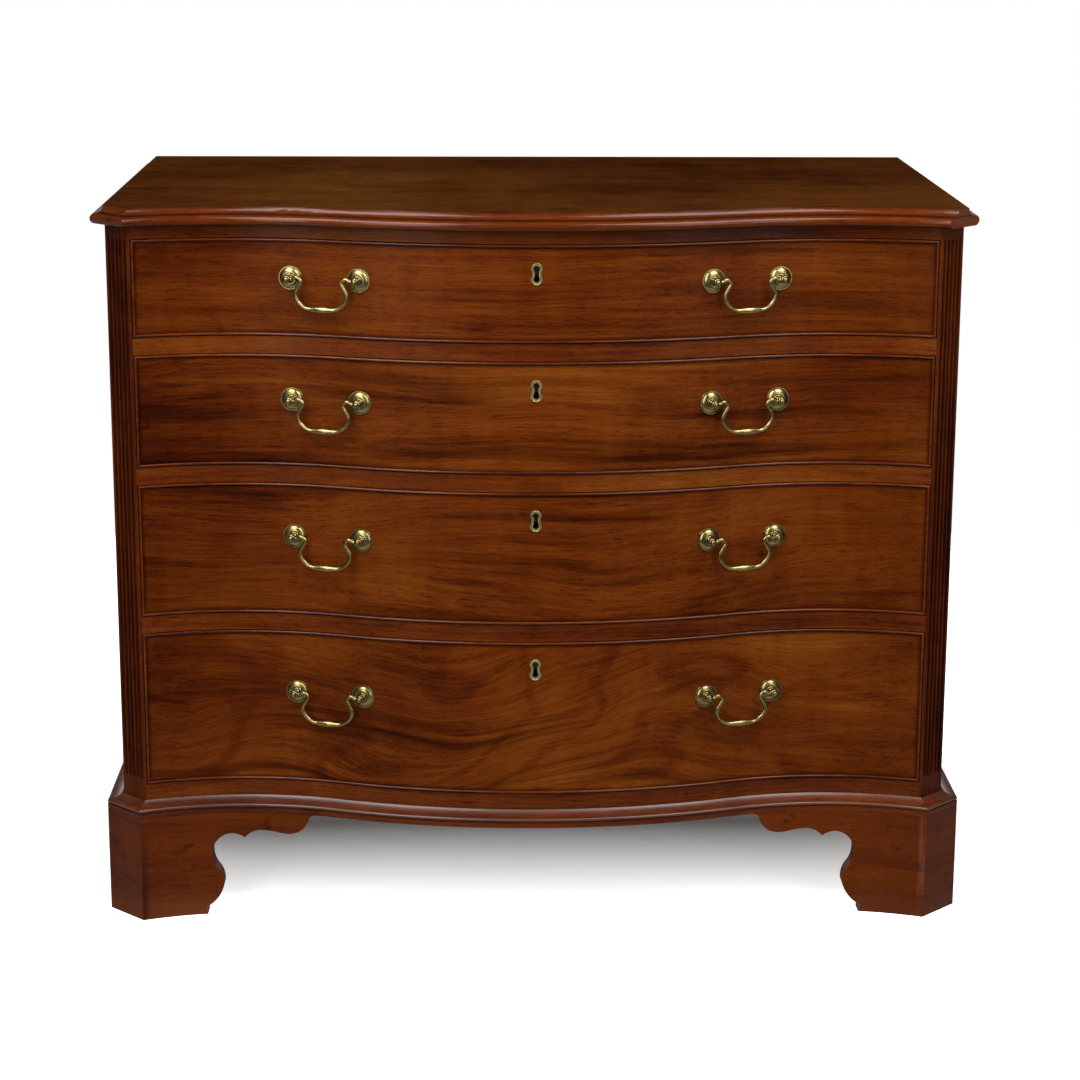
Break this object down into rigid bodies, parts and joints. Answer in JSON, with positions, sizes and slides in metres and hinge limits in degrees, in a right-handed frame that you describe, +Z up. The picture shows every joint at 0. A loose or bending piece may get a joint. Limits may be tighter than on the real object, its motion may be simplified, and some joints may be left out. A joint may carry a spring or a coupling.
{
  "type": "serpentine chest of drawers",
  "caption": "Serpentine-fronted mahogany chest with graduated sliding drawers, swan-neck bail handles, locks, fluted canted corners, moulded top and shaped bracket feet.",
  "frame": {"origin": "on the floor under the middle of the chest's outer box", "axes": "+Z up, +X to the right seen from the front, the serpentine front faces -Y"},
  "size_m": [1.08, 0.6514, 0.898],
  "materials": {
    "mahogany": "polished, waxed red-brown mahogany",
    "oak": "unpolished oak of the inside",
    "brass": "aged, lacquered brass"
  },
  "bodies": {
    "carcase": {"top_board": "mahogany", "side_left": "mahogany", "side_right": "mahogany", "corner_post_left": "mahogany", "corner_post_right": "mahogany", "back_boards": "oak", "rail_top": "mahogany", "drawer_rails": "mahogany", "rail_bottom": "mahogany", "dust_boards": "oak", "bottom_board": "oak", "drawer_runners": "oak", "drawer_guides": "oak", "drawer_stops": "oak", "base_moulding": "mahogany", "foot_front_left": "mahogany", "foot_front_right": "mahogany", "foot_rear_left": "mahogany", "foot_rear_right": "mahogany", "foot_blocks": "oak"},
    "drawer1": {"drawer1_front": "mahogany", "drawer1_sides": "oak", "drawer1_back": "oak", "drawer1_bottom": "oak", "drawer1_cock_beads": "mahogany", "drawer1_lock": "brass", "drawer1_handle_posts": "brass"},
    "drawer1_bail_left": {"drawer1_bail_left": "brass"},
    "drawer1_bail_right": {"drawer1_bail_right": "brass"},
    "drawer1_bolt": {"drawer1_bolt": "brass"},
    "drawer2": {"drawer2_front": "mahogany", "drawer2_sides": "oak", "drawer2_back": "oak", "drawer2_bottom": "oak", "drawer2_cock_beads": "mahogany", "drawer2_lock": "brass", "drawer2_handle_posts": "brass"},
    "drawer2_bail_left": {"drawer2_bail_left": "brass"},
    "drawer2_bail_right": {"drawer2_bail_right": "brass"},
    "drawer2_bolt": {"drawer2_bolt": "brass"},
    "drawer3": {"drawer3_front": "mahogany", "drawer3_sides": "oak", "drawer3_back": "oak", "drawer3_bottom": "oak", "drawer3_cock_beads": "mahogany", "drawer3_lock": "brass", "drawer3_handle_posts": "brass"},
    "drawer3_bail_left": {"drawer3_bail_left": "brass"},
    "drawer3_bail_right": {"drawer3_bail_right": "brass"},
    "drawer3_bolt": {"drawer3_bolt": "brass"},
    "drawer4": {"drawer4_front": "mahogany", "drawer4_sides": "oak", "drawer4_back": "oak", "drawer4_bottom": "oak", "drawer4_cock_beads": "mahogany", "drawer4_lock": "brass", "drawer4_handle_posts": "brass"},
    "drawer4_bail_left": {"drawer4_bail_left": "brass"},
    "drawer4_bail_right": {"drawer4_bail_right": "brass"},
    "drawer4_bolt": {"drawer4_bolt": "brass"}
  },
  "joints": [
    {"name": "drawer1_slide", "type": "slide", "parent": "carcase", "child": "drawer1", "axis": [0, -1, 0], "range_m": [0, 0.4]},
    {"name": "drawer1_bail_left_swing", "type": "hinge", "parent": "drawer1", "child": "drawer1_bail_left", "pos_m": [-0.25842, -0.27483, 0.8121], "axis": [-0.9619, 0.2732, 0], "range_deg": [-10, 165]},
    {"name": "drawer1_bail_right_swing", "type": "hinge", "parent": "drawer1", "child": "drawer1_bail_right", "pos_m": [0.25842, -0.27483, 0.8121], "axis": [-0.9619, -0.2732, 0], "range_deg": [-10, 165]},
    {"name": "drawer1_bolt_slide", "type": "slide", "parent": "drawer1", "child": "drawer1_bolt", "axis": [0, 0, 1], "range_m": [0, 0.008]},
    {"name": "drawer2_slide", "type": "slide", "parent": "carcase", "child": "drawer2", "axis": [0, -1, 0], "range_m": [0, 0.4]},
    {"name": "drawer2_bail_left_swing", "type": "hinge", "parent": "drawer2", "child": "drawer2_bail_left", "pos_m": [-0.25842, -0.27483, 0.663], "axis": [-0.9619, 0.2732, 0], "range_deg": [-10, 165]},
    {"name": "drawer2_bail_right_swing", "type": "hinge", "parent": "drawer2", "child": "drawer2_bail_right", "pos_m": [0.25842, -0.27483, 0.663], "axis": [-0.9619, -0.2732, 0], "range_deg": [-10, 165]},
    {"name": "drawer2_bolt_slide", "type": "slide", "parent": "drawer2", "child": "drawer2_bolt", "axis": [0, 0, 1], "range_m": [0, 0.008]},
    {"name": "drawer3_slide", "type": "slide", "parent": "carcase", "child": "drawer3", "axis": [0, -1, 0], "range_m": [0, 0.4]},
    {"name": "drawer3_bail_left_swing", "type": "hinge", "parent": "drawer3", "child": "drawer3_bail_left", "pos_m": [-0.25842, -0.27483, 0.49112], "axis": [-0.9619, 0.2732, 0], "range_deg": [-10, 165]},
    {"name": "drawer3_bail_right_swing", "type": "hinge", "parent": "drawer3", "child": "drawer3_bail_right", "pos_m": [0.25842, -0.27483, 0.49112], "axis": [-0.9619, -0.2732, 0], "range_deg": [-10, 165]},
    {"name": "drawer3_bolt_slide", "type": "slide", "parent": "drawer3", "child": "drawer3_bolt", "axis": [0, 0, 1], "range_m": [0, 0.008]},
    {"name": "drawer4_slide", "type": "slide", "parent": "carcase", "child": "drawer4", "axis": [0, -1, 0], "range_m": [0, 0.4]},
    {"name": "drawer4_bail_left_swing", "type": "hinge", "parent": "drawer4", "child": "drawer4_bail_left", "pos_m": [-0.25842, -0.27483, 0.29062], "axis": [-0.9619, 0.2732, 0], "range_deg": [-10, 165]},
    {"name": "drawer4_bail_right_swing", "type": "hinge", "parent": "drawer4", "child": "drawer4_bail_right", "pos_m": [0.25842, -0.27483, 0.29062], "axis": [-0.9619, -0.2732, 0], "range_deg": [-10, 165]},
    {"name": "drawer4_bolt_slide", "type": "slide", "parent": "drawer4", "child": "drawer4_bolt", "axis": [0, 0, 1], "range_m": [0, 0.008]}
  ]
}
